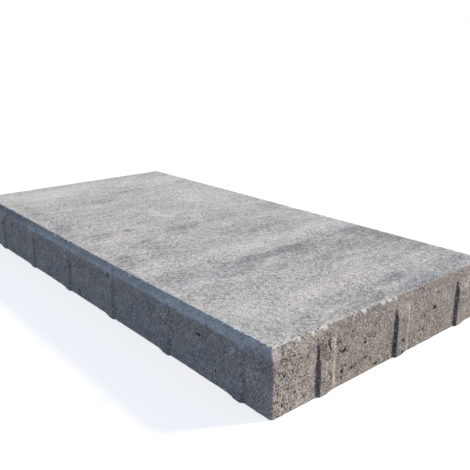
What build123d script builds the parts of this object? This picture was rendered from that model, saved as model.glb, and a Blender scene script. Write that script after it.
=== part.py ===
from build123d import *
import os

# Large-format concrete paving slab with spacer ribs, cast and pressed in one piece.
# Millimetres. X runs along the long side, Y along the short side, Z up.
# The origin is the middle of the underside, which lies on the bedding.

# The slab itself, without its ribs
SLAB_LENGTH = 797.0
SLAB_WIDTH = 397.0
SLAB_THICKNESS = 70.0

# Bevel round the wearing face: the same leg is taken off the top and off the side
BEVEL_LEG = 8.5

# Upright corners, rounded by the corners of the mould
CORNER_RADIUS = 3.0

# Spacer ribs on the four sides, which keep the joint to the next slab open
RIB_PROTRUSION = 3.0
RIB_CREST_WIDTH = 20.0
RIB_FLANK_RUN = 3.0
RIB_CREST_RADIUS = 1.2
RIB_FOOT_RADIUS = 1.5
RIB_SPACING = 126.0

# Least distance from a corner of the slab to the middle of the nearest rib
RIB_CORNER_MARGIN = 40.0

# The ribs stop a little under the bevel, and run out to nothing over this height
RIB_TOP_GAP = 1.5
RIB_RUNOUT = 12.0

# The long sides shift their row of ribs by a quarter of the spacing, so that the ribs
# of two neighbouring slabs stand half a spacing apart and not crest to crest.
# The short sides have their row in the middle.
LONG_SIDE_SHIFT = RIB_SPACING / 4
SHORT_SIDE_SHIFT = 0.0

# Heights worked out from the above
BEVEL_FOOT_Z = SLAB_THICKNESS - BEVEL_LEG
RIB_TOP_Z = BEVEL_FOOT_Z - RIB_TOP_GAP
RIB_FULL_Z = RIB_TOP_Z - RIB_RUNOUT


def slab_body():
    """A block with a bevelled wearing face and rounded upright corners."""
    block = extrude(Rectangle(SLAB_LENGTH, SLAB_WIDTH), SLAB_THICKNESS)
    top_edges = block.edges().group_by(Axis.Z)[-1]
    bevelled = chamfer(top_edges, BEVEL_LEG)
    mould = extrude(RectangleRounded(SLAB_LENGTH, SLAB_WIDTH, CORNER_RADIUS), SLAB_THICKNESS)
    return bevelled & mould


def rib_plan():
    """Plan section of one rib: a trapezium with rounded crest corners that runs into
    the face of the slab, the line Y = 0, in a small hollow at each foot."""
    crest = RIB_CREST_WIDTH / 2
    foot = crest + RIB_FLANK_RUN
    # The part of the section behind the face is inside the slab
    root = foot + RIB_FOOT_RADIUS
    outline = Polyline(
        (-root, RIB_PROTRUSION),
        (-root, 0),
        (-foot, 0),
        (-crest, -RIB_PROTRUSION),
        (crest, -RIB_PROTRUSION),
        (foot, 0),
        (root, 0),
        (root, RIB_PROTRUSION),
        close=True,
    )
    section = make_face(outline)
    corners = section.vertices()
    crest_corners = [v for v in corners if v.Y < -RIB_PROTRUSION / 2]
    section = fillet(crest_corners, RIB_CREST_RADIUS)
    foot_corners = [v for v in section.vertices() if abs(v.Y) < 1e-6 and abs(abs(v.X) - foot) < 1e-6]
    return fillet(foot_corners, RIB_FOOT_RADIUS)


def rib_side_view():
    """Side view of one rib, in the plane of Y and Z: full height from the underside,
    with a sloping top that runs out to nothing at the face of the slab."""
    return make_face(
        Plane.YZ
        * Polyline(
            (RIB_PROTRUSION, 0),
            (-RIB_PROTRUSION, 0),
            (-RIB_PROTRUSION, RIB_FULL_Z),
            (0, RIB_TOP_Z),
            (RIB_PROTRUSION, RIB_TOP_Z),
            close=True,
        )
    )


def spacer_rib():
    """One rib, where its plan section and its side view meet."""
    column = extrude(rib_plan(), RIB_TOP_Z)
    reach = RIB_CREST_WIDTH / 2 + RIB_FLANK_RUN + RIB_FOOT_RADIUS
    wedge = extrude(rib_side_view(), reach, both=True)
    return column & wedge


def rib_stations(side_length, shift):
    """Middles of the ribs along one side, from the middle of that side."""
    usable = side_length - 2 * RIB_CORNER_MARGIN - 2 * shift
    count = int(usable // RIB_SPACING) + 1
    first = shift - (count - 1) * RIB_SPACING / 2
    return [first + number * RIB_SPACING for number in range(count)]


def ribs_on_side(turn, side_length, face_distance, shift):
    """The ribs of one side. The side faces -Y before it is turned about Z."""
    rib = spacer_rib()
    return [
        Rot(0, 0, turn) * Pos(station, -face_distance, 0) * rib
        for station in rib_stations(side_length, shift)
    ]


def paving_slab():
    """The slab with its ribs, one solid. Turned half round it is the same again."""
    ribs = []
    for turn in (0, 180):
        ribs += ribs_on_side(turn, SLAB_LENGTH, SLAB_WIDTH / 2, LONG_SIDE_SHIFT)
    for turn in (90, 270):
        ribs += ribs_on_side(turn, SLAB_WIDTH, SLAB_LENGTH / 2, SHORT_SIDE_SHIFT)
    return slab_body().fuse(*ribs).clean()


slab = paving_slab()
slab.label = "paving_slab"

os.makedirs("parts", exist_ok=True)
export_step(slab, "parts/paving_slab.step")
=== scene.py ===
import math
from collections import namedtuple

import bpy
from mathutils import Matrix, Vector, noise


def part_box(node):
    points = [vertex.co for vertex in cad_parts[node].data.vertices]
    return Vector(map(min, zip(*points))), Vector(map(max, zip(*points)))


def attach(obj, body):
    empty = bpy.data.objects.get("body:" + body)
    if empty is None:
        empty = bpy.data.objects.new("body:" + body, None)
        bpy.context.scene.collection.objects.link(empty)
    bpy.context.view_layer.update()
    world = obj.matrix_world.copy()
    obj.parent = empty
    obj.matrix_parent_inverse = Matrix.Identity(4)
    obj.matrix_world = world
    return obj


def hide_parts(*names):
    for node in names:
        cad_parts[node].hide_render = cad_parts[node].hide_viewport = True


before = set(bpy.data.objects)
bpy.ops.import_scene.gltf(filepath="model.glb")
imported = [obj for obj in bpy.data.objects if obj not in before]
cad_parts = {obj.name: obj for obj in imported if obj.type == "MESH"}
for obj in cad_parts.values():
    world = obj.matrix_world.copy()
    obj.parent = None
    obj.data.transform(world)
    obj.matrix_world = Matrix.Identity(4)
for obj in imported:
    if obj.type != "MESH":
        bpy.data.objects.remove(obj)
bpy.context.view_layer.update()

# The paving slab
# A large slab of pressed concrete, with a bevel round its wearing face and upright ribs
# on its four sides that keep it off the next slab. It comes out of the mould in one piece.

# Sizes are in metres. Length, width and thickness come from the highest corner of the slab.
slab_high_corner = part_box("paving_slab")[1]
RIB_PROUD = 0.003
RIB_SPACING = 0.126
RIB_RUNOUT = 0.012
RIB_TOP_GAP = 0.0015
BEVEL = 0.0085
CORNER_RADIUS = 0.003
ARRIS_RADIUS = 0.001
HALF_LENGTH = slab_high_corner.x - RIB_PROUD
HALF_WIDTH = slab_high_corner.y - RIB_PROUD
THICKNESS = slab_high_corner.z
BEVEL_FOOT = THICKNESS - BEVEL
RIB_TOP = BEVEL_FOOT - RIB_TOP_GAP

# Each side is worked on as if it faced -Y, and then turned about Z by quarter turns: half
# its length, how far its face is from the middle, its ribs and its steps of the mesh. Two
# of them have marks of their own, the long side at -Y and the short one at +X.
Side = namedtuple("Side", "turn half_run face ribs steps")
LONG_FRONT = 0
SHORT_RIGHT = 1
RIBS_PER_LONG_SIDE = 6
RIBS_PER_SHORT_SIDE = 3
LONG_STEPS = 504
SHORT_STEPS = 252


def rib_row(count, shift):
    """Middles of a row of ribs, from the middle of its side."""
    return [shift + (number - (count - 1) / 2) * RIB_SPACING for number in range(count)]


# The mould of the short sides is worn, so their ribs stand up to 2 mm off their even places
WORN_MOULD = (0.0017, 0.0015, -0.0003)
long_ribs = rib_row(RIBS_PER_LONG_SIDE, RIB_SPACING / 4)
short_ribs = [rib + off for rib, off in zip(rib_row(RIBS_PER_SHORT_SIDE, 0.0), WORN_MOULD)]
SIDES = [
    Side(LONG_FRONT, HALF_LENGTH, HALF_WIDTH, long_ribs, LONG_STEPS),
    Side(SHORT_RIGHT, HALF_WIDTH, HALF_LENGTH, short_ribs, SHORT_STEPS),
    Side(2, HALF_LENGTH, HALF_WIDTH, long_ribs, LONG_STEPS),
    Side(3, HALF_WIDTH, HALF_LENGTH, short_ribs, SHORT_STEPS),
]


def smooth(low, high, value):
    """0 below low, 1 above high, and an even S between."""
    share = min(1.0, max(0.0, (value - low) / (high - low)))
    return share * share * (3 - 2 * share)


def band(start, full, fading, end, value):
    """1 from full to fading, and an even S down to 0 at start and at end."""
    return smooth(start, full, value) * (1 - smooth(fading, end, value))


def uneven(side, along, height, scale_along, scale_up, seed=0.0):
    """Smooth noise over a side, from about -1 to 1, and finer the larger its scales are."""
    return noise.noise(Vector((along * scale_along, side.turn * seed, height * scale_up)))


# The two halves of a rib's plan section, as the distance from its middle and how far it
# stands proud. One half still has its crisp corner, on the other it is rubbed down.
CRISP_HALF = [
    (0.00940, 0.00300),
    (0.00990, 0.00290),
    (0.01035, 0.00262),
    (0.01150, 0.00150),
    (0.01260, 0.00044),
    (0.01362, 0.00000),
]
RUBBED_HALF = [
    (0.00680, 0.00300),
    (0.00840, 0.00278),
    (0.00990, 0.00234),
    (0.01120, 0.00150),
    (0.01250, 0.00044),
    (0.01362, 0.00000),
]
RIB_HALF_WIDTH = CRISP_HALF[-1][0]
# The point of each half that takes the place of the nearest even line of the mesh
SET_POINT = 3


def crisp_way(side):
    """The way along a side, 1 or -1, that the crisp halves of its ribs face: towards the
    corner of the slab at +X and -Y, or the one across from it."""
    return 1 if side.turn % 2 == 0 else -1


def line_places(side):
    """Where the upright lines of the mesh stand along a side: evenly over the plain parts,
    and on every point of the section at the ribs."""
    first = CORNER_RADIUS - side.half_run
    step = -2 * first / side.steps
    fixed = {0: first, side.steps: -first}
    for rib in side.ribs:
        for way in (-1, 1):
            section = CRISP_HALF if way == crisp_way(side) else RUBBED_HALF
            set_line = round((rib + way * section[SET_POINT][0] - first) / step)
            start = set_line - way * SET_POINT
            for number, (off, rise) in enumerate(section):
                fixed[start + way * number] = rib + way * off
    marks = sorted(fixed)
    places = [-first]
    for left, right in zip(marks, marks[1:]):
        for number in range(left, right):
            share = (number - left) / (right - left)
            places.append(fixed[left] + share * (fixed[right] - fixed[left]))
    return sorted(places)


def past_rib(side, along):
    """Distance from the middle of the nearest rib, above 0 on the rib's crisp half."""
    nearest = min(side.ribs, key=lambda rib: abs(along - rib))
    return (along - nearest) * crisp_way(side)


# One rib has lost half of its crisp corner further up: its side and the place of its
# middle, how far from there it is looked for, the heights between which the loss sets in,
# how wavy its outline is, the share that is lost, and the height over which the rest runs out
TORN_RIB = (SHORT_RIGHT, -RIB_SPACING)
TORN_REACH = 0.024
TORN_FROM, TORN_TO = 0.037, 0.045
TORN_WAVE = 0.006
TORN_SHARE = 0.55
TORN_RUNOUT = 0.004

# The edges of the ribs waver by this much, and the lower corner is knocked off further and
# further between these places, measured from the middle towards the rubbed half
RIB_WAVER = 0.0005
KNOCKED_FROM, KNOCKED_TO = -0.005, 0.010


def torn(side, along):
    return side.turn == TORN_RIB[0] and abs(along - TORN_RIB[1]) < TORN_REACH


def rib_rise(side, along, height):
    """How far the ribs lift the face of a side at one place. Each runs out at its top, and
    its lower corner is knocked off on the rubbed half."""
    past = past_rib(side, along)
    past += RIB_WAVER * uneven(side, along, height, 30, 160, seed=3)
    section = CRISP_HALF if past > 0 else RUBBED_HALF
    rise = RIB_PROUD
    for (near, high), (far, low) in zip(section, section[1:]):
        if abs(past) >= near:
            rise = max(low, high + (low - high) * (abs(past) - near) / (far - near))
    slope = RIB_PROUD * min(1.0, max(0.0, (RIB_TOP - height) / RIB_RUNOUT))
    if torn(side, along):
        ragged = uneven(side, along, height, 260, 260)
        kept = 1 - TORN_SHARE * smooth(TORN_FROM, TORN_TO, height + TORN_WAVE * ragged)
        kept = min(kept, max(0.0, (RIB_TOP - height) / TORN_RUNOUT))
        slope += (RIB_PROUD * kept - slope) * smooth(0.0, 0.006, past)
    knocked = height + RIB_PROUD * (1 - smooth(KNOCKED_FROM, KNOCKED_TO, -past))
    return min(rise, slope, knocked)


# Rows of the mesh up the side, over the bevel and a little way in over the top:
# height, distance in from the face, and the tilt of the surface there in degrees
Row = namedtuple("Row", "height inset tilt")
SIDE_ROWS = 38
EDGE_WEAR = 0.0007
# Points over the bevel, as the distance in from the face, the rise and the tilt. It ends
# in a small steep lip under the arris.
BEVEL_POINTS = [
    (0.0000, 0.0000, 30),
    (0.0018, 0.0015, 48),
    (0.0036, 0.0032, 50),
    (0.0054, 0.0050, 46),
    (0.0070, 0.0066, 46),
    (0.0078, 0.0074, 42),
    (0.0083, 0.0081, 20),
]
rows = [Row(0.0, EDGE_WEAR, -45)]
rows += [
    Row(EDGE_WEAR + (BEVEL_FOOT - EDGE_WEAR) * n / SIDE_ROWS, 0.0, 0) for n in range(SIDE_ROWS)
]
rows += [Row(BEVEL_FOOT + rise, inset, tilt) for inset, rise, tilt in BEVEL_POINTS]
ARRIS_ROW = len(rows)
rows += [
    Row(THICKNESS, BEVEL, 60),
    Row(THICKNESS, BEVEL + 0.0004, 90),
    Row(THICKNESS, BEVEL + 0.0036, 90),
]

# Angles of the lines that stand round each upright corner, between its two ends
CORNER_ANGLES = (30.0, 60.0)


def turned(point, quarter_turns):
    return Matrix.Rotation(math.radians(90 * quarter_turns), 3, "Z") @ point


def lines_round_slab():
    """Every upright line, as its side, its place along that side and its angle round the
    corner that follows, which is 0 along the straight."""
    lines = []
    for side in SIDES:
        places = line_places(side)
        lines += [(side, place, 0.0) for place in places]
        lines += [(side, places[-1], angle) for angle in CORNER_ANGLES]
    return lines


def up_the_bevel(row):
    """0 on the side, and 1 from the arris on."""
    return min(1.0, row.inset / BEVEL)


def point_on_slab(line, row):
    """A point of the even slab and the direction that its surface faces there."""
    side, along, angle = line
    radius = CORNER_RADIUS + (ARRIS_RADIUS - CORNER_RADIUS) * up_the_bevel(row)
    straight = side.half_run - CORNER_RADIUS
    along_here = along * (side.half_run - row.inset - radius) / straight
    reach = side.face - row.inset - radius
    out = math.radians(angle)
    rise = rib_rise(side, along, row.height) if angle == 0 else 0.0
    across = along_here + radius * math.sin(out)
    point = Vector((across, -reach - radius * math.cos(out) - rise, row.height))
    tilt = math.radians(row.tilt)
    flat = math.cos(tilt)
    facing = Vector((math.sin(out) * flat, -math.cos(out) * flat, math.sin(tilt)))
    return turned(point, side.turn), turned(facing, side.turn)


# Torn places and voids that show, as they lie on their side: the side, and then in
# millimetres the place along it from its middle, the height, half the width, half the height
# and the depth
VOIDS = [
    (1, -97, 38, 4.6, 2.4, 2.6),
    (1, -91, 36, 2.4, 1.6, 1.8),
    (1, -63, 36.5, 1.7, 2.8, 2.2),
    (1, -99, 15.5, 1.9, 3.2, 2.4),
    (1, -98, 8.5, 2.2, 1.6, 2.0),
    (1, -84, 13.5, 1.8, 2.0, 2.0),
    (1, -78, 16, 1.6, 1.4, 1.8),
    (1, -56, 41, 1.8, 1.2, 1.6),
    (1, -48, 38, 1.3, 1.5, 1.4),
    (1, -62, 18, 3.0, 1.3, 1.6),
    (1, -42, 4, 2.8, 2.0, 2.0),
    (1, -18, 34, 1.6, 1.8, 1.6),
    (1, 3, 18, 1.9, 2.4, 2.0),
    (1, 3, 3, 2.2, 1.6, 2.0),
    (1, 66, 39, 2.8, 2.6, 2.2),
    (1, 50, 66, 1.6, 1.3, 1.6),
    (1, 45, 17, 2.0, 1.6, 1.6),
    (1, 72, 56, 2.4, 1.4, 1.6),
    (1, -131, 55, 0.9, 5.0, 1.3),
    (1, -127, 52, 0.9, 4.0, 1.2),
    (1, -121, 55, 1.1, 6.0, 1.5),
    (1, -118, 46, 0.8, 3.0, 1.1),
    (1, -136, 47, 1.0, 6.0, 1.0),
    (1, -120, 21.5, 1.6, 2.0, 1.6),
    (1, -104, 41, 1.6, 1.2, 1.4),
    (1, -93, 21, 1.4, 1.6, 1.4),
    (1, -151, 52, 1.4, 1.8, 1.5),
    (1, -182, 41, 1.8, 1.6, 1.6),
    (1, -173, 44, 1.6, 1.2, 1.5),
    (1, -190, 26, 1.5, 1.6, 1.5),
    (1, -155, 9, 1.5, 1.2, 1.4),
    (1, -184, 10, 1.9, 1.8, 1.8),
    (1, -193, 17, 1.8, 1.4, 1.6),
    (1, -168, 19, 1.6, 1.6, 1.6),
    (0, 6, 6, 1.9, 6.0, 2.8),
    (0, 287, 47, 3.2, 1.2, 1.8),
    (0, 93, 57, 5.0, 1.6, 1.6),
    (0, -236, 52, 3.0, 1.6, 1.8),
    (0, -30, 33, 2.0, 1.6, 1.6),
    (2, 120, 22, 3.2, 2.4, 2.2),
    (2, -210, 41, 2.4, 3.0, 2.0),
    (2, 300, 51, 2.6, 1.6, 1.8),
    (3, -40, 30, 3.4, 2.0, 2.0),
    (3, 96, 48, 2.0, 2.6, 2.0),
]


def void_depth(side, along, height):
    """How far the voids of the list reach in at one place of a side, in metres, and how
    near one is, from 0 to 1, because smaller holes lie round it."""
    deepest = 0.0
    nearest = 0.0
    for turn, place, level, wide, high, deep in VOIDS:
        if turn != side.turn:
            continue
        across = (along * 1000 - place) / wide
        up = (height * 1000 - level) / high
        if abs(across) < 4 and abs(up) < 4:
            ragged = 1.1 * noise.noise(Vector((along * 520, height * 520, place)))
            away = math.hypot(across, up) + ragged
            deepest = max(deepest, deep / 1000 * (1 - smooth(0.3, 1.1, away)))
            nearest = max(nearest, 1 - smooth(1.0, 3.6, away))
    return deepest, nearest


# A vector of noise is shifted by numbers that are drawn at the start, so they are seeded
# here, and each run gives the same slab
NOISE_SEED = 1
noise.seed_set(NOISE_SEED)

# Small air holes: the grid that they lie in, how far they are pushed out of line, the
# radius of the smallest, and how much more the largest has
AIR_HOLE_SPACING = 0.0075
AIR_HOLE_WANDER = 0.0016
AIR_HOLE_RADIUS = 0.0011
AIR_HOLE_GROWTH = 0.0016


def air_hole(point):
    """Depth, from 0 to 1, of the small air holes that pressing leaves in the sides. They
    come in loose swarms."""
    wander = noise.noise_vector(point * 260) * AIR_HOLE_WANDER
    distances, sites = noise.voronoi((point + wander) / AIR_HOLE_SPACING)
    luck = 0.5 + 0.5 * noise.cell(sites[0] * 57.3)
    swarm = 0.30 + 0.35 * noise.noise(point * 22)
    if luck > swarm:
        return 0.0
    radius = AIR_HOLE_RADIUS + AIR_HOLE_GROWTH * luck / swarm
    return 1 - smooth(0.2, 1.0, distances[0] * AIR_HOLE_SPACING / radius)


BURR_HEIGHT = 0.004
BURR_DEPTH = 0.0016


def burr(point, height):
    """The thin burr along the foot of the sides, where concrete crept under the mould."""
    ragged = 0.5 + 0.5 * noise.fractal(point * 130, 0.5, 2.0, 2)
    swell = 0.4 + 0.6 * smooth(-0.3, 0.3, noise.noise(point * 14))
    return BURR_DEPTH * ragged * swell * max(0.0, 1 - height / BURR_HEIGHT)


# Relief of the sides: how far they lie back on the whole, and how deep the drag marks of the
# mould, the wide swells and the roughness of the sand are
SIDE_DEPTH = 0.00024
DRAG_DEPTH = 0.00005
SWELL_DEPTH = 0.00008
SAND_DEPTH = 0.00007
# Depth of an air hole and how dark the painted shade in it is. A void as deep as that is
# fully shaded, and a deeper one up to its own limit, which keeps its ragged rim shaded as well.
HOLE_DEPTH = 0.0009
AIR_HOLE_SHADE = 0.8
VOID_DEEPEST_SHADE = 1.4


def side_relief(line, row, point):
    """How far the surface of a side lies behind the even face, and how much painted shade an
    open hole puts there. The mould drags the concrete a little as it is lifted off."""
    side, along, angle = line
    drag = uneven(side, along, row.height, 240, 40, seed=9.1)
    swell = noise.noise(point * 60)
    rough = noise.fractal(point * 300, 0.6, 2.0, 3)
    even = SIDE_DEPTH + DRAG_DEPTH * drag + SWELL_DEPTH * swell + SAND_DEPTH * rough
    hole = air_hole(point) if row.tilt == 0 else 0.0
    void = void_depth(side, along, row.height)[0]
    if abs(past_rib(side, along)) > RIB_HALF_WIDTH:
        even -= burr(point, row.height)
    depth = even + max(HOLE_DEPTH * hole, void)
    return depth, max(AIR_HOLE_SHADE * hole, min(VOID_DEEPEST_SHADE, void / HOLE_DEPTH))


# Larger chips off the sharp edge round the top: the side, and then in millimetres the
# place along it from its middle and half the length
CHIPS = [
    (1, -59, 3.5),
    (1, -26, 3.2),
    (1, -14, 3.5),
    (1, -3, 2.0),
    (1, -141, 3),
    (1, -122, 4),
    (1, -160, 2.5),
    (0, 141, 3),
    (0, -80, 3),
    (2, 240, 7),
    (2, -40, 5),
    (3, 110, 6),
    (3, -60, 4),
]


def chipped(side, along):
    """1 in the middle of a chip and 0 away from all of them."""
    most = 0.0
    for turn, place, half in CHIPS:
        if turn == side.turn:
            most = max(most, 1 - smooth(0.5, 1.3, abs(along * 1000 - place) / half))
    return most


# The bevel of the long side at -Y is too narrow at its +X end by the first value, and from
# there grows wider by the second towards its -X end
BEVEL_NARROWER = 0.0011
BEVEL_GAIN = 0.0038


def bevel_drift(side, along):
    """How much further in than elsewhere the bevel reaches."""
    if side.turn != LONG_FRONT:
        return 0.0
    return BEVEL_GAIN * smooth(-0.10, 0.33, -along) - BEVEL_NARROWER


# Wear of the sharp edge: grain by grain, in teeth, in longer stretches and in chips, and
# the most of all together
GRAIN_WEAR = 0.0005
TEETH_WEAR = 0.0011
STRETCH_WEAR = 0.0007
CHIP_WEAR = 0.0014
MOST_WEAR = 0.0030
# How much of that wear each side has, because one is crisper than the others
EDGE_SHARE = {0: 0.62, 1: 1.0, 2: 0.9, 3: 1.0}


def arris_wear(side, along):
    """How much has crumbled off the sharp edge round the top."""
    place = Vector((along, side.turn * 3.3, 0.0))
    fine = 0.5 + 0.5 * noise.noise(place * 610)
    teeth = smooth(0.0, 0.4, noise.noise(place * 230))
    coarse = smooth(0.1, 0.6, noise.noise(place * 110))
    lost = STRETCH_WEAR * coarse + CHIP_WEAR * chipped(side, along)
    wear = GRAIN_WEAR * fine + TEETH_WEAR * teeth + lost * (0.4 + fine)
    return min(MOST_WEAR, wear * EDGE_SHARE[side.turn])


# The share of that wear that each row near the edge moves in and down
WEAR_BY_ROW = {
    ARRIS_ROW - 1: (0.5, 0.2),
    ARRIS_ROW: (1.0, 0.5),
    ARRIS_ROW + 1: (1.1, 0.2),
}

# Relief of the wearing face: how far it lies under the full thickness, and how deep its
# swells and its grit are
TOP_DEPTH = 0.00020
TOP_SWELL = 0.00006
TOP_GRIT = 0.00008


def top_relief(point):
    """How far the wearing face lies under the full thickness."""
    swell = noise.noise(point * 40)
    grit = noise.fractal(point * 260, 0.6, 2.0, 2)
    return TOP_DEPTH + TOP_SWELL * swell + TOP_GRIT * grit


points = []
hole_shades = []
lines = lines_round_slab()
for row_number, row in enumerate(rows):
    for line in lines:
        side, along, angle = line
        point, facing = point_on_slab(line, row)
        out = turned(Vector((0, -1, 0)), side.turn)
        point = point - out * bevel_drift(side, along) * up_the_bevel(row)
        hole = 0.0
        if row_number <= ARRIS_ROW:
            depth, hole = side_relief(line, row, point)
            # The lowest edge is only half as uneven, so that the slab stands on it
            if row_number == 0:
                depth *= 0.5
            point = point - facing * depth
        else:
            point = point - Vector((0, 0, top_relief(point)))
        if row_number in WEAR_BY_ROW:
            inward, down = WEAR_BY_ROW[row_number]
            wear = arris_wear(side, along)
            point = point - out * inward * wear - Vector((0, 0, down * wear))
        point.z = min(max(point.z, 0.0), THICKNESS)
        points.append(point)
        hole_shades.append(hole)

# Each row is a closed ring of points, and faces stand between one ring and the next
faces = []
per_ring = len(lines)
for row_number in range(len(rows) - 1):
    low, high = row_number * per_ring, (row_number + 1) * per_ring
    for here in range(per_ring):
        beside = (here + 1) % per_ring
        faces.append((low + here, low + beside, high + beside, high + here))

# First point of each side within a ring
side_starts = []
start = 0
for side in SIDES:
    side_starts.append(start)
    start += side.steps + 1 + len(CORNER_ANGLES)


def fill_inside(ring_start, stride, lift, upward):
    """Fills a closed ring of the mesh with a grid whose cells are stride lines wide. The
    grid's corners are told by the side that ends there."""
    long_cells, short_cells = LONG_STEPS // stride, SHORT_STEPS // stride
    grid_corners = {
        (long_cells, 0): 0,
        (long_cells, short_cells): 1,
        (0, short_cells): 2,
        (0, 0): 3,
    }

    def on_ring(side_number, line_number):
        return ring_start + side_starts[side_number] + line_number

    def border(i, j):
        if j == 0:
            return on_ring(0, i * stride)
        if i == long_cells:
            return on_ring(1, j * stride)
        if j == short_cells:
            return on_ring(2, LONG_STEPS - i * stride)
        return on_ring(3, SHORT_STEPS - j * stride)

    inner = {}
    corners = [points[border(i, j)] for i in (0, long_cells) for j in (0, short_cells)]
    for i in range(1, long_cells):
        for j in range(1, short_cells):
            u, v = i / long_cells, j / short_cells
            across = points[border(i, 0)].lerp(points[border(i, short_cells)], v)
            along = points[border(0, j)].lerp(points[border(long_cells, j)], u)
            bent = corners[0].lerp(corners[1], v).lerp(corners[2].lerp(corners[3], v), u)
            place = across + along - bent
            place.z = lift(place)
            inner[i, j] = len(points)
            points.append(place)
            hole_shades.append(0.0)

    def edge(i, j, next_i, next_j):
        """Points from one corner of a cell towards the next, without the last."""
        if j == next_j == 0:
            return [on_ring(0, n) for n in range(i * stride, next_i * stride)]
        if i == next_i == long_cells:
            return [on_ring(1, n) for n in range(j * stride, next_j * stride)]
        if j == next_j == short_cells:
            return [on_ring(2, LONG_STEPS - n) for n in range(i * stride, next_i * stride, -1)]
        if i == next_i == 0:
            return [on_ring(3, SHORT_STEPS - n) for n in range(j * stride, next_j * stride, -1)]
        return [inner[i, j] if (i, j) in inner else border(i, j)]

    def corner_lines(i, j):
        """The points round a corner of the slab, where a cell has one."""
        turn = grid_corners.get((i, j))
        if turn is None:
            return []
        return [on_ring(turn, SIDES[turn].steps + n) for n in range(1 + len(CORNER_ANGLES))]

    for i in range(long_cells):
        for j in range(short_cells):
            cell = []
            round_cell = [(i, j), (i + 1, j), (i + 1, j + 1), (i, j + 1)]
            for here, there in zip(round_cell, round_cell[1:] + round_cell[:1]):
                cell += edge(*here, *there)
                cell += corner_lines(*there)
            faces.append(cell if upward else cell[::-1])


TOP_STRIDE = 3
UNDERSIDE_STRIDE = 12
top_ring = (len(rows) - 1) * per_ring
fill_inside(top_ring, TOP_STRIDE, lambda place: THICKNESS - top_relief(place), True)
fill_inside(0, UNDERSIDE_STRIDE, lambda place: 0.0, False)

# Clouds of the wearing face: middle in X and Y, half the extent in X and Y, all in
# millimetres, and how blue and dark (above 0) or pale and warm (below 0) it is
CLOUDS = [
    (150, 10, 20, 150, -0.7),
    (144, 128, 16, 32, -0.7),
    (148, -24, 14, 34, -0.5),
    (187, 28, 6, 38, 1.5),
    (194, 2, 8, 46, 1.3),
    (196, -10, 16, 60, 0.7),
    (201, 44, 10, 24, 0.3),
    (212, -86, 20, 30, 0.7),
    (221, 23, 13, 24, 0.6),
    (207, -171, 17, 20, 0.5),
    (259, 119, 20, 17, 0.5),
    (219, 158, 16, 26, 0.4),
    (300, 174, 52, 20, 0.8),
    (187, -62, 10, 30, 0.8),
    (193, 166, 15, 26, 1.3),
    (226, 184, 40, 16, 0.8),
    (240, 69, 20, 46, 0.5),
    (184, -140, 18, 44, 0.6),
    (203, 118, 26, 64, 0.35),
    (240, 158, 34, 32, 0.6),
    (240, -62, 13, 34, 0.3),
    (262, -56, 18, 26, -0.4),
    (288, -87, 38, 50, -0.35),
    (345, -55, 22, 26, 0.6),
    (337, 8, 16, 28, -0.5),
    (264, -132, 7, 50, 0.5),
    (305, 46, 34, 26, -0.3),
    (309, 17, 40, 24, -0.3),
    (325, -40, 16, 50, -0.4),
    (352, 42, 10, 24, 1.5),
    (374, 146, 22, 32, 0.8),
    (387, 70, 14, 60, 0.9),
    (380, -40, 16, 56, 0.6),
    (360, 71, 13, 24, 0.6),
    (330, -150, 50, 38, -0.4),
    (366, -147, 24, 34, 0.6),
    (292, 146, 26, 14, 0.5),
    (14, -25, 11, 30, 1.1),
    (98, 58, 11, 22, 0.8),
    (76, 15, 8, 20, 0.6),
    (75, -112, 48, 20, 0.3),
    (84, -168, 26, 10, 0.5),
    (95, -143, 54, 7, -0.5),
    (7, -122, 22, 32, -0.8),
    (-23, -93, 8, 9, 1.4),
    (44, 112, 34, 44, -0.2),
    (-8, -34, 12, 24, 0.5),
    (-114, -144, 28, 14, 0.5),
    (104, -180, 24, 14, 0.4),
    (94, -160, 17, 32, 0.5),
    (13, 69, 34, 44, 0.25),
    (36, -44, 20, 30, 0.3),
    (128, 75, 22, 28, 0.4),
    (127, -4, 12, 34, 0.4),
    (-166, -127, 20, 28, 0.4),
    (-239, -80, 17, 19, 0.6),
    (-100, -37, 15, 19, 0.4),
    (25, -111, 38, 24, 0.5),
    (-40, 55, 14, 30, -0.3),
    (-298, -13, 16, 20, -0.5),
    (-338, -152, 20, 24, -0.4),
    (-24, -158, 11, 34, 0.6),
    (-80, -176, 34, 16, 0.7),
    (-157, -33, 15, 34, 0.5),
    (-180, 56, 20, 34, -0.5),
    (-281, -112, 24, 48, -0.5),
    (-323, 49, 30, 28, -0.5),
    (-75, -7, 32, 9, -1.5),
    (-101, -164, 20, 14, 0.3),
    (-190, -164, 105, 14, 0.5),
    (-135, 130, 75, 56, -0.5),
    (-215, -42, 17, 30, 0.6),
    (-256, 35, 13, 34, 0.6),
    (-300, 142, 36, 46, -0.6),
    (-332, 91, 14, 20, -1.0),
    (-344, 110, 22, 32, -0.4),
    (-332, -100, 34, 60, -1.0),
    (-345, -20, 22, 50, -0.8),
    (270, 30, 60, 140, 0.15),
    (60, 60, 60, 120, 0.15),
]

# How strong the fine streaks and the clouds are, and the darkest that both together make
STREAK_STRENGTH = 0.5
CLOUD_STRENGTH = 1.3
DARKEST_CLOUD = 2.0


def cloud_at(point):
    """How blue and dark the wearing face is at one place: uneven streaks across the slab,
    and the larger clouds with ragged outlines."""
    streaks = noise.fractal(Vector((point.x * 34, point.y * 8, 0)), 0.6, 2.0, 4)
    ragged = noise.noise_vector(Vector((point.x * 60, point.y * 30, 5)))
    across, up = point.x * 1000 + 7 * ragged.x, point.y * 1000 + 14 * ragged.y
    total = STREAK_STRENGTH * streaks
    for x, y, wide, deep, strength in CLOUDS:
        away = math.hypot((across - x) / wide, (up - y) / deep)
        if away < 1.5:
            total += CLOUD_STRENGTH * strength * (1 - smooth(0.4, 1.5, away))
    return min(total, DARKEST_CLOUD)


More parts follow.
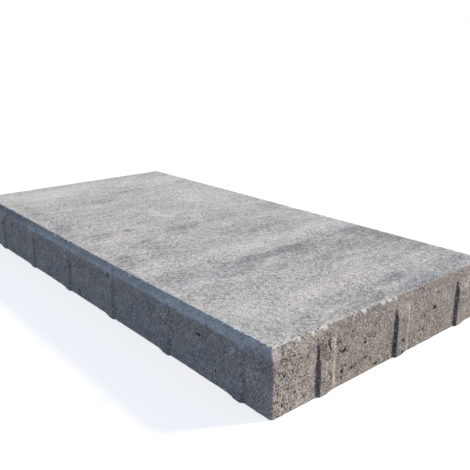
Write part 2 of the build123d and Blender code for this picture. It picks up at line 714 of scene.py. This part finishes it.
# Colour of each side's bevel in the measure of the clouds, and how much of the bevel is
# covered by the face mix, which reaches down from the wearing face
BEVEL_CLOUD = {0: 0.9, 1: 0.2, 2: 0.3, 3: 0.6}
BEVEL_MIX = {0: 1.0, 1: 0.0, 2: 0.55, 3: 0.8}

# Pale spots, bits of pale stone and smears of cement: the side, then in millimetres the
# place along it from its middle, the height, half the width and half the height, and last
# how pale it is
SPOTS = [
    (0, 344, 53, 2.8, 3.8, 1.0),
    (0, 337, 16, 2.0, 2.6, 0.8),
    (0, 340, 9, 3.0, 4.0, 0.4),
    (0, 324, 50, 2.0, 2.2, 1.2),
    (0, 366, 57, 7.0, 5.0, 0.35),
    (0, 390, 48, 4.0, 14.0, 0.3),
    (0, 286, 39, 1.3, 1.3, 0.7),
    (0, 216, 56, 3.0, 3.0, 0.4),
    (0, 91, 45, 2.5, 2.5, 0.4),
    (0, -162, 58, 4.0, 4.0, 0.6),
    (0, -60, 50, 2.0, 2.0, 0.5),
    (1, -167, 32, 3.2, 4.5, 0.8),
    (1, -165, 23, 2.6, 3.4, 0.7),
    (1, -155, 55, 2.6, 2.6, 0.8),
    (1, -157, 45, 2.0, 2.2, 0.6),
    (1, -194, 61, 6.0, 8.0, 0.55),
    (1, -72, 33, 2.0, 2.0, 0.5),
    (1, 45, 26, 5.0, 5.0, 0.4),
    (1, 88, 52, 6.0, 6.0, 0.3),
    (1, 132, 50, 6.0, 6.0, 0.5),
    (1, 130, 20, 5.0, 5.0, 0.4),
    (2, 150, 30, 3.0, 3.0, 0.5),
    (2, -90, 44, 2.0, 2.0, 0.6),
    (3, 30, 40, 3.5, 3.5, 0.5),
]


def spot(side, along, height):
    most = 0.0
    for turn, place, level, wide, high, pale in SPOTS:
        if turn == side.turn:
            away = math.hypot((along * 1000 - place) / wide, (height * 1000 - level) / high)
            most = max(most, pale * (1 - smooth(0.5, 1.4, away)))
    return most


# What the coats below need to know of one place of the rings: how far it is past a rib and
# in from the sharp edge, and how much it is on the top, on the bevel and at the +X end of
# the long side at -Y
Here = namedtuple("Here", "side along row point past in_from_edge on_top on_bevel at_end")


def look_at(line, row, point):
    side, along, angle = line
    on_top = smooth(THICKNESS - 0.0012, THICKNESS - 0.0004, point.z)
    on_bevel = smooth(BEVEL_FOOT - 0.0006, BEVEL_FOOT + 0.0008, row.height)
    at_end = 0.0
    if side.turn == LONG_FRONT:
        at_end = 1 - smooth(0.02, 0.06, side.half_run - along)
    in_from_edge = max(0.0, row.inset - BEVEL)
    past = past_rib(side, along)
    return Here(side, along, row, point, past, in_from_edge, on_top, on_bevel, at_end)


# How far from its middle the crest of a rib is full, and where it ends
CREST_HALF, CREST_END = 0.007, 0.012


def on_crest(here):
    return 1 - smooth(CREST_HALF, CREST_END, abs(here.past))


def shows_in_face_mix(side):
    """On a side whose bevel is all face mix, the pale spots are of face mix too."""
    return BEVEL_MIX[side.turn] > 0.9


def face_mix(here):
    """The face mix covers the top, and a smear of it runs down over the crests of some ribs."""
    side, along, height = here.side, here.along, here.row.height
    mix = here.on_top
    if not here.on_top:
        smear = uneven(side, along, height, 150, 35, seed=5) + 14 * (height - 0.045)
        mix = 0.6 * BEVEL_MIX[side.turn] * on_crest(here) * smooth(-0.3, 0.5, smear)
    if shows_in_face_mix(side):
        mix = max(mix, spot(side, along, height))
    return mix


def bevel_mix(here):
    """How much of the bevel it covers, which is less by the corner at +X and -Y."""
    less = 0.4 * smooth(0.24, 0.34, here.along) if here.side.turn == LONG_FRONT else 0.0
    return BEVEL_MIX[here.side.turn] * (1 - less)


# The line along the foot of the bevel that the face mix ends in: how wide its blur is and
# how much wider at one end, how far it drops over half the width of a rib to either side,
# and how far it climbs along the long side at -Y
LINE_BLUR = 0.0004
LINE_BLUR_AT_END = 0.0024
LINE_DROP, DROP_HALF = 0.0015, 0.014
LINE_CLIMB = 0.0022


def over_foot(here):
    """Height over the line that the face mix ends in, in widths of its blur."""
    blur = LINE_BLUR + LINE_BLUR_AT_END * here.at_end
    drop = LINE_DROP if abs(here.past) < DROP_HALF else 0.0
    line_up = 0.0
    if here.side.turn == LONG_FRONT:
        line_up = LINE_CLIMB * smooth(0.05, 0.30, -here.along)
    return (here.row.height + drop - line_up - BEVEL_FOOT) / blur


# How pale the wearing face is right beside the sharp edge, and how far in that reaches
RIM = 0.4
RIM_WIDTH = 0.0046


def cloud(here):
    """How blue and dark the face mix is. It is pale along the sharp edge, above all by the
    corner at +X and -Y, and dark on the ribs."""
    side, along = here.side, here.along
    bevel = BEVEL_CLOUD[side.turn] + 0.5 * noise.noise(here.point * 16)
    total = here.on_top * cloud_at(here.point) + (1 - here.on_top) * bevel
    rim = RIM * (0.8 + 0.9 * uneven(side, along, 0.0, 40, 0, seed=4.4))
    if side.turn == LONG_FRONT:
        rim += 1.4 * smooth(0.20, 0.32, along)
    if side.turn == SHORT_RIGHT:
        rim += 1.2 * smooth(0.13, 0.16, -along)
    total -= here.on_top * rim * (1 - smooth(0.0004, RIM_WIDTH, here.in_from_edge))
    if not here.on_top:
        total = max(total, 0.8 * on_crest(here))
    return total


def shade(here):
    """Broad differences in how pale the concrete is, 1 being as it comes, with painted shade on
    the long side at -Y near its top and on its bevel by the corner at +X and -Y.
    """
    side, along, height = here.side, here.along, here.row.height
    covered = BEVEL_MIX[side.turn]
    total = 1.0
    if side.turn == SHORT_RIGHT:
        by_corner = 1 - smooth(0.05, 0.10, side.half_run + along)
        lower_down = 1 - 0.8 * smooth(0.035, 0.055, height)
        total += 0.20 * (1 - here.on_top) * by_corner * lower_down
    if here.on_top:
        return total
    # A bare bevel is darker than its side
    bare = 0.27 * smooth(0.04, 0.09, along + side.half_run) + 0.02
    total -= here.on_bevel * bare * (1 - covered)
    # Where the face mix covers it, the bevel grows paler from the edge down to its foot. By the
    #     corner at +X and -Y it grows darker towards its foot instead, as painted shade that
    #     blends the bevel's brighter light into the side
    down = (THICKNESS - height) / BEVEL
    paler = (0.34 - 0.70 * here.at_end) * down - 0.17 + 0.24 * here.at_end
    total += here.on_bevel * covered * paler
    if side.turn == LONG_FRONT:
        # Painted shade: the long side at -Y is darker near its top, where more light reaches it
        total -= 0.09 * (1 - here.on_bevel) * smooth(0.030, 0.050, height)
        darker = 0.12 + 0.33 * smooth(0.04, 0.26, -along) - 0.24 * smooth(0.15, 0.30, along)
        total -= here.on_bevel * darker
    return total


# How dark the painted shade in the foot of the ribs is, and where it lies, as distances from a
# rib's middle
LONG_SIDE_FOOT_SHADE = 0.25
LONG_SIDE_BAND = (0.0095, 0.0115, 0.0135, 0.0165)
SHORT_SIDE_FOOT_SHADE = 0.85
SHORT_SIDE_BAND = (0.0096, 0.0106, 0.0130, 0.0144)


def painted_rib_foot_shade(here):
    """Painted shade in the foot of a rib, on its crisp side: a dark crease on the long sides,
    and a deeper cast shadow beside the ribs on the short sides.
    """
    side, along, past, height = here.side, here.along, here.past, here.row.height
    if side.turn % 2 == 0:
        left = LONG_SIDE_FOOT_SHADE * band(*LONG_SIDE_BAND, past)
        return left * (1 - smooth(0.030, 0.056, height + 0.02 * noise.noise(here.point * 60)))
    foot_top = RIB_TOP - 0.002
    if torn(side, along):
        foot_top -= 0.008 * (0.5 + uneven(side, along, height, 500, 300))
    left = SHORT_SIDE_FOOT_SHADE * band(*SHORT_SIDE_BAND, past)
    return left * (1 - smooth(foot_top, foot_top + 0.005, height))


# Where the pale rubbed side of a rib lies, with a painted highlight of its lit flank, as
# distances from its middle, and how far each rib is rubbed and lit, by its number from the
# middle of its side
RUB_AND_HIGHLIGHT_BAND = (-0.0160, -0.0145, -0.0100, -0.0076)
RUB_AND_HIGHLIGHT_BY_RIB = {-1: 0.95, 0: 0.8, 1: 0.45}
RUB_AND_HIGHLIGHT_ELSEWHERE = 0.8


def rubbed_and_painted_highlight(here):
    """The rubbed side of a rib is pale, partly from wear and partly a painted highlight of its
    lit flank, and so are the pale spots.
    """
    side = here.side
    edge = band(*RUB_AND_HIGHLIGHT_BAND, here.past)
    below_top = 1 - smooth(RIB_TOP - 0.004, RIB_TOP, here.row.height)
    pale = edge * below_top * (0.7 + 0.8 * noise.noise(here.point * 240))
    by_rib = RUB_AND_HIGHLIGHT_BY_RIB.get(round(here.along / RIB_SPACING), RUB_AND_HIGHLIGHT_ELSEWHERE)
    pale *= (1 - 0.75 * BEVEL_MIX[side.turn]) * by_rib
    if not shows_in_face_mix(side):
        pale = max(pale, spot(side, here.along, here.row.height))
    return pale


# Fresh concrete reaches this far from a line a little under the arris, round a chip and
# round the small bits
UNDER_ARRIS = 0.0006
CHIP_REACH = (0.0010, 0.0032)
BIT_REACH = (0.0006, 0.0020)


def fresh(here):
    """Fresh concrete shows in the chips, and in small bits, where the arris has crumbled."""
    from_arris = abs(here.row.height + UNDER_ARRIS - THICKNESS) + here.in_from_edge
    bits = 0.7 * smooth(0.3, 0.55, noise.noise(here.point * 130 + Vector((0, 3, 0))))
    in_chip = chipped(here.side, here.along) * (1 - smooth(*CHIP_REACH, from_arris))
    return max(in_chip, bits * (1 - smooth(*BIT_REACH, from_arris)))


# How thickly the smallest holes lie on each side
SWARMS = {0: 0.15, 1: 0.50, 2: 0.35, 3: 0.40}


def swarm(here):
    """How thickly the smallest holes lie. There are more of them near one corner, round the
    voids and on the torn rib, and few on a smooth bevel."""
    side, along, height = here.side, here.along, here.row.height
    place = Vector((along * 25, side.turn * 7.7, height * 25))
    thick = SWARMS[side.turn] + 0.7 * noise.fractal(place, 0.6, 2.0, 2)
    if side.turn == SHORT_RIGHT:
        thick += 0.35 * (1 - smooth(0.06, 0.12, side.half_run + along))
    thick = min(1.0, max(0.0, thick))
    thick = min(1.0, thick + 0.7 * void_depth(side, along, height)[1])
    if torn(side, along) and -0.009 < here.past < 0.013:
        tears = 0.6 + 0.9 * uneven(side, along, height, 600, 90)
        thick = min(1.0, max(0.0, thick + tears * smooth(0.036, 0.044, height)))
    if side.turn == LONG_FRONT:
        thick *= 1 - 0.7 * here.on_bevel
    return thick


# How much smoother the mould has pressed the surface in one place than in another
CALM_TOP = 0.33
CALM_BEVEL = {0: 0.85, 1: 0.1, 2: 0.4, 3: 0.4}
CALM_SIDE = {0: 0.12, 1: -0.15, 2: 0.0, 3: -0.1}


def calm(here):
    turn = here.side.turn
    below = here.on_bevel * CALM_BEVEL[turn] + (1 - here.on_bevel) * CALM_SIDE[turn]
    return here.on_top * CALM_TOP + (1 - here.on_top) * below


# How much painted shade the crumbled sharp edge of each side gets, and how far it reaches in
# over the top and down over the bevel, which is further down on the long side at -Y
EDGE_SHADE = {0: 0.92, 1: 0.60, 2: 0.64, 3: 0.66}
EDGE_SHADE_REACH = (0.0044, 0.0011)
EDGE_SHADE_REACH_FRONT = (0.0024, 0.0028)


def painted_edge_shade(here):
    """Painted shade of small notches in the crumbled sharp edge, in short dark ticks across it.
    """
    side, along, row = here.side, here.along, here.row
    from_edge = row.inset - BEVEL + row.height - THICKNESS
    over_top, over_bevel = EDGE_SHADE_REACH_FRONT if side.turn == LONG_FRONT else EDGE_SHADE_REACH
    reach = over_top if from_edge > 0 else over_bevel
    dark = EDGE_SHADE[side.turn] + 0.2 * uneven(side, along, 0.0, 45, 0, seed=2.2)
    dark += 0.55 * uneven(side, along, 0.0, 270, 0, seed=2.2)
    if torn(side, along):
        dark += 0.15
    return dark * (1 - smooth(0.0, reach, abs(from_edge)))


def top_swarm(point):
    thick = 0.38 + 0.8 * noise.fractal(point * 16, 0.6, 2.0, 2) + 0.5 * point.x
    return min(1.0, max(0.0, thick))


shape = bpy.data.meshes.new("paving_slab_cast")
shape.from_pydata(points, [], faces)
shape.polygons.foreach_set("use_smooth", [True] * len(shape.polygons))

# Every coat is painted on the points of the rings. On the grids inside them, on top and
# underneath, most coats are the same all over.
ringed = [
    look_at(line, row, points[n * per_ring + m])
    for n, row in enumerate(rows)
    for m, line in enumerate(lines)
]
inside = points[len(ringed):]
paint_inside = {
    "face_mix": [1.0] * len(inside),
    "cloud": [cloud_at(point) for point in inside],
    "shade": [1.0] * len(inside),
    "swarm": [top_swarm(point) for point in inside],
    "calm": [CALM_TOP] * len(inside),
}
bare_inside = [0.0] * len(inside)
paint = {}
coats = (face_mix, bevel_mix, over_foot, cloud, shade, painted_rib_foot_shade, rubbed_and_painted_highlight, fresh, swarm, calm, painted_edge_shade)
for coat in coats:
    name = coat.__name__
    paint[name] = [coat(here) for here in ringed] + paint_inside.get(name, bare_inside)
paint["open_hole_shade"] = hole_shades
for name, values in paint.items():
    shape.attributes.new(name, "FLOAT", "POINT").data.foreach_set("value", values)

slab = bpy.data.objects.new("cast_slab", shape)
bpy.context.scene.collection.objects.link(slab)
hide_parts("paving_slab")
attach(slab, "root")

concrete = bpy.data.materials.new("pressed_concrete")
concrete.use_nodes = True
nodes, links = concrete.node_tree.nodes, concrete.node_tree.links
nodes.clear()


def node(kind, **settings):
    made = nodes.new(kind)
    for name, value in settings.items():
        setattr(made, name, value)
    return made


def feed(socket, value):
    """Gives a socket its input: another node's output or a plain number or colour."""
    if isinstance(value, bpy.types.NodeSocket):
        links.new(value, socket)
    else:
        socket.default_value = value


def number(operation, first, second=0.0, third=0.0):
    made = node("ShaderNodeMath", operation=operation)
    for socket, value in zip(made.inputs, (first, second, third)):
        feed(socket, value)
    return made.outputs[0]


def times(first, second):
    return number("MULTIPLY", first, second)


def scaled(value, factor, shift):
    """The value times a factor, with a shift added."""
    return number("MULTIPLY_ADD", value, factor, shift)


def ramp(value, low, high):
    """0 below low, 1 above high, and an even S between."""
    made = node("ShaderNodeMapRange", interpolation_type="SMOOTHSTEP")
    for name, given in (("Value", value), ("From Min", low), ("From Max", high)):
        feed(made.inputs[name], given)
    return made.outputs["Result"]


def blend(share, first, second, how="MIX"):
    made = node("ShaderNodeMix", data_type="RGBA", blend_type=how)
    sockets = (made.inputs[0], made.inputs[6], made.inputs[7])
    for socket, value in zip(sockets, (share, first, second)):
        feed(socket, value)
    return made.outputs[2]


def squeezed(places, *shares):
    """Places with their distances in X, Y and Z made smaller, which draws a noise out."""
    made = node("ShaderNodeMapping")
    feed(made.inputs["Vector"], places)
    feed(made.inputs["Scale"], shares)
    return made.outputs[0]


def speckle(places, scale, detail, roughness):
    made = node("ShaderNodeTexNoise")
    feed(made.inputs["Vector"], places)
    feed(made.inputs["Scale"], scale)
    feed(made.inputs["Detail"], detail)
    feed(made.inputs["Roughness"], roughness)
    return made.outputs["Fac"]


def grains(places, scale):
    """Grains of one size: two numbers of its own for each, and the distance from its middle."""
    made = node("ShaderNodeTexVoronoi")
    feed(made.inputs["Vector"], places)
    feed(made.inputs["Scale"], scale)
    split = node("ShaderNodeSeparateColor")
    feed(split.inputs["Color"], made.outputs["Color"])
    return split.outputs["Red"], split.outputs["Green"], made.outputs["Distance"]


def srgb(*levels):
    """A colour as it is read off a screen, from 0 to 255, as Blender's linear colour."""
    shares = [level / 255 for level in levels]
    linear = [c / 12.92 if c < 0.04 else ((c + 0.055) / 1.055) ** 2.4 for c in shares]
    return (*linear, 1)


def painted(coat):
    return node("ShaderNodeAttribute", attribute_name=coat).outputs["Fac"]


FACE_PALE, FACE_DARK = srgb(209, 202, 193), srgb(143, 140, 138)
SIDE_PALE, SIDE_DARK = srgb(168, 158, 149), srgb(147, 140, 135)
RIB_FOOT_SHADE_TINT = (0.40, 0.34, 0.33, 1)
COOL_GRAIN, WARM_GRAIN = (0.965, 0.995, 1.04, 1), (1.04, 1.0, 0.96, 1)
COOL_PATCH, WARM_PATCH = (0.982, 1.002, 1.026, 1), (1.018, 0.998, 0.974, 1)
DARK_GRAIN, PALE_GRAIN, RED_GRAIN = srgb(84, 80, 80), srgb(236, 228, 216), srgb(150, 100, 78)
RUBBED_AND_HIGHLIGHT, FRESH = srgb(217, 205, 194), srgb(228, 221, 214)
EDGE_SHADE_COLOUR, HOLE_SHADE = srgb(84, 78, 78), srgb(64, 49, 43)
HOLE_SHADE_SHARE = 0.9
BUMP_DEPTH = 0.0007

# Places for the noises, as they are and for noises drawn out across the slab and upright
place = node("ShaderNodeTexCoord").outputs["Object"]
long_drawn = squeezed(place, 1.0, 0.4, 1.0)
upright = squeezed(place, 1.0, 1.0, 0.6)

# Wearing face: pale grey with blue grey clouds, whose edges are ragged
rough = number("SUBTRACT", 1.0, painted("calm"))
mottle = speckle(long_drawn, scale=60.0, detail=5.0, roughness=0.66)
granules = number("SUBTRACT", speckle(place, scale=220.0, detail=4.0, roughness=0.75), 0.5)
broken = number("SUBTRACT", speckle(long_drawn, scale=140.0, detail=5.0, roughness=0.72), 0.5)
broken = scaled(broken, times(rough, 5.0), 1.0)
clouds = scaled(painted("cloud"), broken, scaled(mottle, 3.0, -1.5))
clouds = number("ADD", clouds, times(granules, times(rough, 13.5)))
face_colour = blend(ramp(clouds, -1.6, 2.4), FACE_PALE, FACE_DARK)

# Sides: brownish grey, a little uneven
patches = speckle(place, scale=45.0, detail=5.0, roughness=0.65)
side_colour = blend(ramp(patches, 0.3, 0.7), SIDE_PALE, SIDE_DARK)

# The face mix covers the top, and on some sides the bevel, down to a ragged line
ragged = scaled(speckle(place, scale=150.0, detail=3.0, roughness=0.6), 8.0, -4.0)
above_line = ramp(number("ADD", painted("over_foot"), ragged), -1.0, 1.0)
covered = number("MAXIMUM", painted("face_mix"), times(above_line, painted("bevel_mix")))
colour = blend(covered, side_colour, face_colour)
colour = blend(1.0, colour, painted("shade"), "MULTIPLY")
# Painted shade in the foot of the ribs
colour = blend(painted("painted_rib_foot_shade"), colour, RIB_FOOT_SHADE_TINT, "MULTIPLY")

# Grain of the sand, coarser in some places than in others, warm here and cool there
fine = speckle(upright, scale=960.0, detail=3.0, roughness=0.8)
middling = speckle(upright, scale=250.0, detail=3.0, roughness=0.6)
coarseness = ramp(speckle(place, scale=70.0, detail=2.0, roughness=0.5), 0.3, 0.7)
grain = scaled(middling, scaled(coarseness, 0.9, 0.35), -0.35)
grain = number("SUBTRACT", grain, times(coarseness, 0.45))
grain = number("ADD", grain, scaled(fine, 4.9, -2.28))
grain = scaled(grain, rough, 1.0)
colour = blend(1.0, colour, grain, "MULTIPLY")
grain_hue = ramp(speckle(place, scale=330.0, detail=2.0, roughness=0.5), 0.35, 0.65)
colour = blend(1.0, colour, blend(grain_hue, COOL_GRAIN, WARM_GRAIN), "MULTIPLY")
patch_hue = ramp(speckle(long_drawn, scale=26.0, detail=3.0, roughness=0.6), 0.3, 0.7)
patch_tint = blend(patch_hue, COOL_PATCH, WARM_PATCH)
colour = blend(scaled(covered, 0.7, 0.3), colour, patch_tint, "MULTIPLY")

which, other, away = grains(place, 420.0)
dark_grain = times(ramp(which, 0.84, 0.90), ramp(away, 0.55, 0.35))
pale_grain = times(ramp(which, 0.10, 0.06), ramp(away, 0.55, 0.35))
red_grain = times(ramp(other, 0.975, 0.98), ramp(away, 0.5, 0.3))
colour = blend(times(dark_grain, 0.6), colour, DARK_GRAIN)
colour = blend(times(pale_grain, 0.45), colour, PALE_GRAIN)
colour = blend(times(red_grain, 0.5), colour, RED_GRAIN)

# Rubbed corners are pale, with a painted highlight on the lit flanks of the ribs, and fresh
# chips paler still
colour = blend(times(painted("rubbed_and_painted_highlight"), 0.65), colour, RUBBED_AND_HIGHLIGHT)
colour = blend(times(painted("fresh"), 0.75), colour, FRESH)

# Painted shade in the small notches of the broken edge
edge_shade_noise = speckle(place, scale=380.0, detail=3.0, roughness=0.6)
edge_shade = number("ADD", painted("painted_edge_shade"), scaled(edge_shade_noise, 1.4, -0.7))
colour = blend(times(ramp(edge_shade, 0.62, 0.80), 0.7), colour, EDGE_SHADE_COLOUR)

# Air holes get painted shade with ragged rims. The smallest ones come in swarms.
hole_rim = scaled(speckle(place, scale=700.0, detail=3.0, roughness=0.6), 2.0, -1.0)
open_hole_shade = ramp(number("ADD", painted("open_hole_shade"), hole_rim), 0.42, 0.72)
thickly = painted("swarm")


def pits(scale, scarce, swarmed):
    """Ragged pits in a noise of one scale: its lowest dips, more of them where they swarm."""
    level = scaled(thickly, swarmed - scarce, scarce)
    dips = speckle(place, scale, detail=2.0, roughness=0.6)
    return ramp(dips, level, number("SUBTRACT", level, 0.05))


pin_hole = number("MAXIMUM", pits(430.0, 0.29, 0.43), pits(200.0, 0.24, 0.38))
dark = number("MAXIMUM", open_hole_shade, times(pin_hole, 0.85))
# Painted shade in the air holes and pin holes
colour = blend(times(dark, HOLE_SHADE_SHARE), colour, HOLE_SHADE)

bump = node("ShaderNodeBump")
feed(bump.inputs["Distance"], BUMP_DEPTH)
feed(bump.inputs["Strength"], 0.9)
feed(bump.inputs["Height"], scaled(fine, 0.8, scaled(middling, 0.8, times(dark, -1.4))))

surface = node("ShaderNodeBsdfPrincipled")
feed(surface.inputs["Base Color"], colour)
feed(surface.inputs["Roughness"], scaled(middling, 0.12, 0.84))
feed(surface.inputs["Normal"], bump.outputs[0])
feed(surface.inputs["Specular IOR Level"], 0.2)
output = node("ShaderNodeOutputMaterial")
feed(output.inputs["Surface"], surface.outputs[0])
shape.materials.append(concrete)

# The studio floor
# A plain pale floor that runs out to white. It takes the slab's shadow, but throws little
# light back up at the sides.

FLOOR_HALF = 12.0
FLOOR_GAP = 0.0002
FLOOR_COLOUR = (0.31, 0.30, 0.29, 1)
FLOOR_GLOW = 0.76
floor_shape = bpy.data.meshes.new("floor")
floor_corners = [
    (x * FLOOR_HALF, y * FLOOR_HALF, -FLOOR_GAP) for x, y in ((-1, -1), (1, -1), (1, 1), (-1, 1))
]
floor_shape.from_pydata(floor_corners, [], [(0, 1, 2, 3)])
floor = bpy.data.objects.new("floor", floor_shape)
bpy.context.scene.collection.objects.link(floor)


def in_sight(nodes, links):
    """1 for a ray from the camera, straight or by way of a mirror or glass, and else 0."""
    path = nodes.new("ShaderNodeLightPath")
    total = path.outputs["Is Camera Ray"]
    for name in ("Is Glossy Ray", "Is Transmission Ray"):
        both = nodes.new("ShaderNodeMath")
        both.operation = "MAXIMUM"
        links.new(total, both.inputs[0])
        links.new(path.outputs[name], both.inputs[1])
        total = both.outputs[0]
    return total


floor_paint = bpy.data.materials.new("floor_paint")
floor_paint.use_nodes = True
nodes, links = floor_paint.node_tree.nodes, floor_paint.node_tree.links
nodes.clear()
matt = nodes.new("ShaderNodeBsdfDiffuse")
matt.inputs["Color"].default_value = FLOOR_COLOUR
glow = nodes.new("ShaderNodeEmission")
lift = nodes.new("ShaderNodeMath")
lift.operation = "MULTIPLY"
lift.inputs[1].default_value = FLOOR_GLOW
together = nodes.new("ShaderNodeAddShader")
output = nodes.new("ShaderNodeOutputMaterial")
links.new(in_sight(nodes, links), lift.inputs[0])
links.new(lift.outputs[0], glow.inputs["Strength"])
links.new(matt.outputs[0], together.inputs[0])
links.new(glow.outputs[0], together.inputs[1])
links.new(together.outputs[0], output.inputs["Surface"])
floor_shape.materials.append(floor_paint)

# The studio light
# One large soft lamp stands high behind the slab's right end and throws a warm light. A dim
# and even bluish light, like that of a clear sky, comes from all round.

LAMP_FROM = Vector((0.418, 0.758, 0.5))
LAMP_STRENGTH = 3.9
LAMP_DEGREES_WIDE = 6
LAMP_COLOUR = (1.0, 0.89, 0.71)
FILL_COLOUR = (0.495, 0.688, 1.0, 1)
FILL_STRENGTH = 0.70
WHITE = (1, 1, 1, 1)
lamp = bpy.data.lights.new("soft_lamp", "SUN")
lamp.energy = LAMP_STRENGTH
lamp.angle = math.radians(LAMP_DEGREES_WIDE)
lamp.color = LAMP_COLOUR
lamp_stand = bpy.data.objects.new("soft_lamp", lamp)
lamp_stand.rotation_mode = "QUATERNION"
lamp_stand.rotation_quaternion = LAMP_FROM.to_track_quat("Z", "Y")
bpy.context.scene.collection.objects.link(lamp_stand)

# Past the floor the camera sees plain white
world = bpy.data.worlds.new("studio")
bpy.context.scene.world = world
world.use_nodes = True
nodes, links = world.node_tree.nodes, world.node_tree.links
nodes.clear()
fill = nodes.new("ShaderNodeBackground")
fill.inputs["Color"].default_value = FILL_COLOUR
fill.inputs["Strength"].default_value = FILL_STRENGTH
white = nodes.new("ShaderNodeBackground")
white.inputs["Color"].default_value = WHITE
white.inputs["Strength"].default_value = 1.0
choose = nodes.new("ShaderNodeMixShader")
output = nodes.new("ShaderNodeOutputWorld")
links.new(in_sight(nodes, links), choose.inputs["Fac"])
links.new(fill.outputs[0], choose.inputs[1])
links.new(white.outputs[0], choose.inputs[2])
links.new(choose.outputs[0], output.inputs["Surface"])

# The camera
# It stands off the near corner, a little above the slab, and looks along its diagonal. Its
# turns are made one after the other about its own axes, in degrees.

CAMERA_PLACE = (0.7514, -0.5369, 0.3338)
CAMERA_TURNS = (("Z", 50.06), ("X", 72.78), ("Z", -0.24))
CAMERA_LENS = 46.3
CAMERA_SENSOR = 36.0
eye = bpy.data.cameras.new("camera")
eye.sensor_width = CAMERA_SENSOR
eye.lens = CAMERA_LENS
camera = bpy.data.objects.new("camera", eye)
stand = Matrix.Translation(CAMERA_PLACE)
for axis, degrees in CAMERA_TURNS:
    stand = stand @ Matrix.Rotation(math.radians(degrees), 4, axis)
camera.matrix_world = stand
bpy.context.scene.collection.objects.link(camera)
bpy.context.scene.camera = camera
bpy.context.scene.view_settings.view_transform = "Standard"

bpy.context.view_layer.update()
